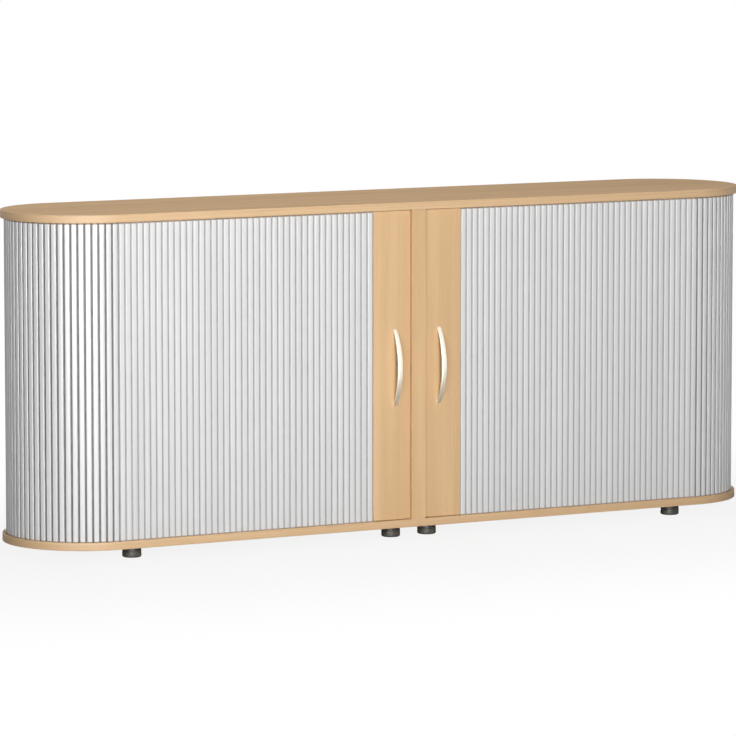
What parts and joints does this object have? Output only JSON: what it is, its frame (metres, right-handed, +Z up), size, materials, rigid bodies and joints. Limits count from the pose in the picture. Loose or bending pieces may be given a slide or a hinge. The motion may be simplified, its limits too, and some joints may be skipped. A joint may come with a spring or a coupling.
{
  "type": "tambour door cabinet",
  "caption": "Long low round-ended sideboard with wood top and base, centre partition, levelling feet and slatted tambour doors that slide round the ends.",
  "frame": {"origin": "on the floor, under the middle of the whole cabinet with its handles", "axes": "+X along the length to the right as seen from the front, the doors face -Y, +Z up"},
  "size_m": [2, 0.4198, 0.82],
  "materials": {
    "beech_board": "satin beech laminate",
    "beech_edge": "satin beech edge band",
    "beech_rail": "satin beech laminate",
    "slat_plastic": "satin silver grey",
    "track_plastic": "smooth grey",
    "shoe_plastic": "smooth black",
    "handle_metal": "satin pearl",
    "steel": "zinc plated",
    "foot_plastic": "smooth black"
  },
  "bodies": {
    "cabinet": {"top_panel": "beech_board", "bottom_panel": "beech_board", "top_edge_band": "beech_edge", "bottom_edge_band": "beech_edge", "centre_partition": "beech_board", "partition_edge_band": "beech_edge", "back_panel": "beech_board", "left_end_wall": "beech_board", "left_inner_back": "beech_board", "left_top_track": "track_plastic", "left_bottom_track": "track_plastic", "left_shelf": "beech_board", "left_curtain_front": "slat_plastic", "left_curtain_bend_front": "slat_plastic", "left_curtain_bend_rear": "slat_plastic", "left_shelf_pin_1": "steel", "left_shelf_pin_2": "steel", "left_shelf_pin_3": "steel", "left_shelf_pin_4": "steel", "right_end_wall": "beech_board", "right_inner_back": "beech_board", "right_top_track": "track_plastic", "right_bottom_track": "track_plastic", "right_shelf": "beech_board", "right_curtain_front": "slat_plastic", "right_curtain_bend_front": "slat_plastic", "right_curtain_bend_rear": "slat_plastic", "right_shelf_pin_1": "steel", "right_shelf_pin_2": "steel", "right_shelf_pin_3": "steel", "right_shelf_pin_4": "steel", "foot_socket_1": "foot_plastic", "foot_socket_2": "foot_plastic", "foot_socket_3": "foot_plastic", "foot_socket_4": "foot_plastic", "foot_socket_5": "foot_plastic", "foot_socket_6": "foot_plastic", "foot_socket_7": "foot_plastic", "foot_socket_8": "foot_plastic"},
    "left_door": {"left_lead_rail": "beech_rail", "left_bottom_shoe": "shoe_plastic", "left_top_shoe": "shoe_plastic", "left_handle": "handle_metal", "left_handle_screw_lower": "steel", "left_handle_screw_upper": "steel"},
    "right_door": {"right_lead_rail": "beech_rail", "right_bottom_shoe": "shoe_plastic", "right_top_shoe": "shoe_plastic", "right_handle": "handle_metal", "right_handle_screw_lower": "steel", "right_handle_screw_upper": "steel"},
    "levelling_pad_1": {"foot_pad_1": "foot_plastic"},
    "levelling_pad_2": {"foot_pad_2": "foot_plastic"},
    "levelling_pad_3": {"foot_pad_3": "foot_plastic"},
    "levelling_pad_4": {"foot_pad_4": "foot_plastic"},
    "levelling_pad_5": {"foot_pad_5": "foot_plastic"},
    "levelling_pad_6": {"foot_pad_6": "foot_plastic"},
    "levelling_pad_7": {"foot_pad_7": "foot_plastic"},
    "levelling_pad_8": {"foot_pad_8": "foot_plastic"}
  },
  "joints": [
    {"name": "left_door_slide", "type": "slide", "parent": "cabinet", "child": "left_door", "axis": [-1, 0, 0], "range_m": [0, 0.675], "deforming": ["left_curtain_front"]},
    {"name": "right_door_slide", "type": "slide", "parent": "cabinet", "child": "right_door", "axis": [1, 0, 0], "range_m": [0, 0.675], "deforming": ["right_curtain_front"]},
    {"name": "levelling_pad_1_slide", "type": "slide", "parent": "cabinet", "child": "levelling_pad_1", "axis": [0, 0, 1], "range_m": [-0.012, 0]},
    {"name": "levelling_pad_2_slide", "type": "slide", "parent": "cabinet", "child": "levelling_pad_2", "axis": [0, 0, 1], "range_m": [-0.012, 0]},
    {"name": "levelling_pad_3_slide", "type": "slide", "parent": "cabinet", "child": "levelling_pad_3", "axis": [0, 0, 1], "range_m": [-0.012, 0]},
    {"name": "levelling_pad_4_slide", "type": "slide", "parent": "cabinet", "child": "levelling_pad_4", "axis": [0, 0, 1], "range_m": [-0.012, 0]},
    {"name": "levelling_pad_5_slide", "type": "slide", "parent": "cabinet", "child": "levelling_pad_5", "axis": [0, 0, 1], "range_m": [-0.012, 0]},
    {"name": "levelling_pad_6_slide", "type": "slide", "parent": "cabinet", "child": "levelling_pad_6", "axis": [0, 0, 1], "range_m": [-0.012, 0]},
    {"name": "levelling_pad_7_slide", "type": "slide", "parent": "cabinet", "child": "levelling_pad_7", "axis": [0, 0, 1], "range_m": [-0.012, 0]},
    {"name": "levelling_pad_8_slide", "type": "slide", "parent": "cabinet", "child": "levelling_pad_8", "axis": [0, 0, 1], "range_m": [-0.012, 0]}
  ]
}
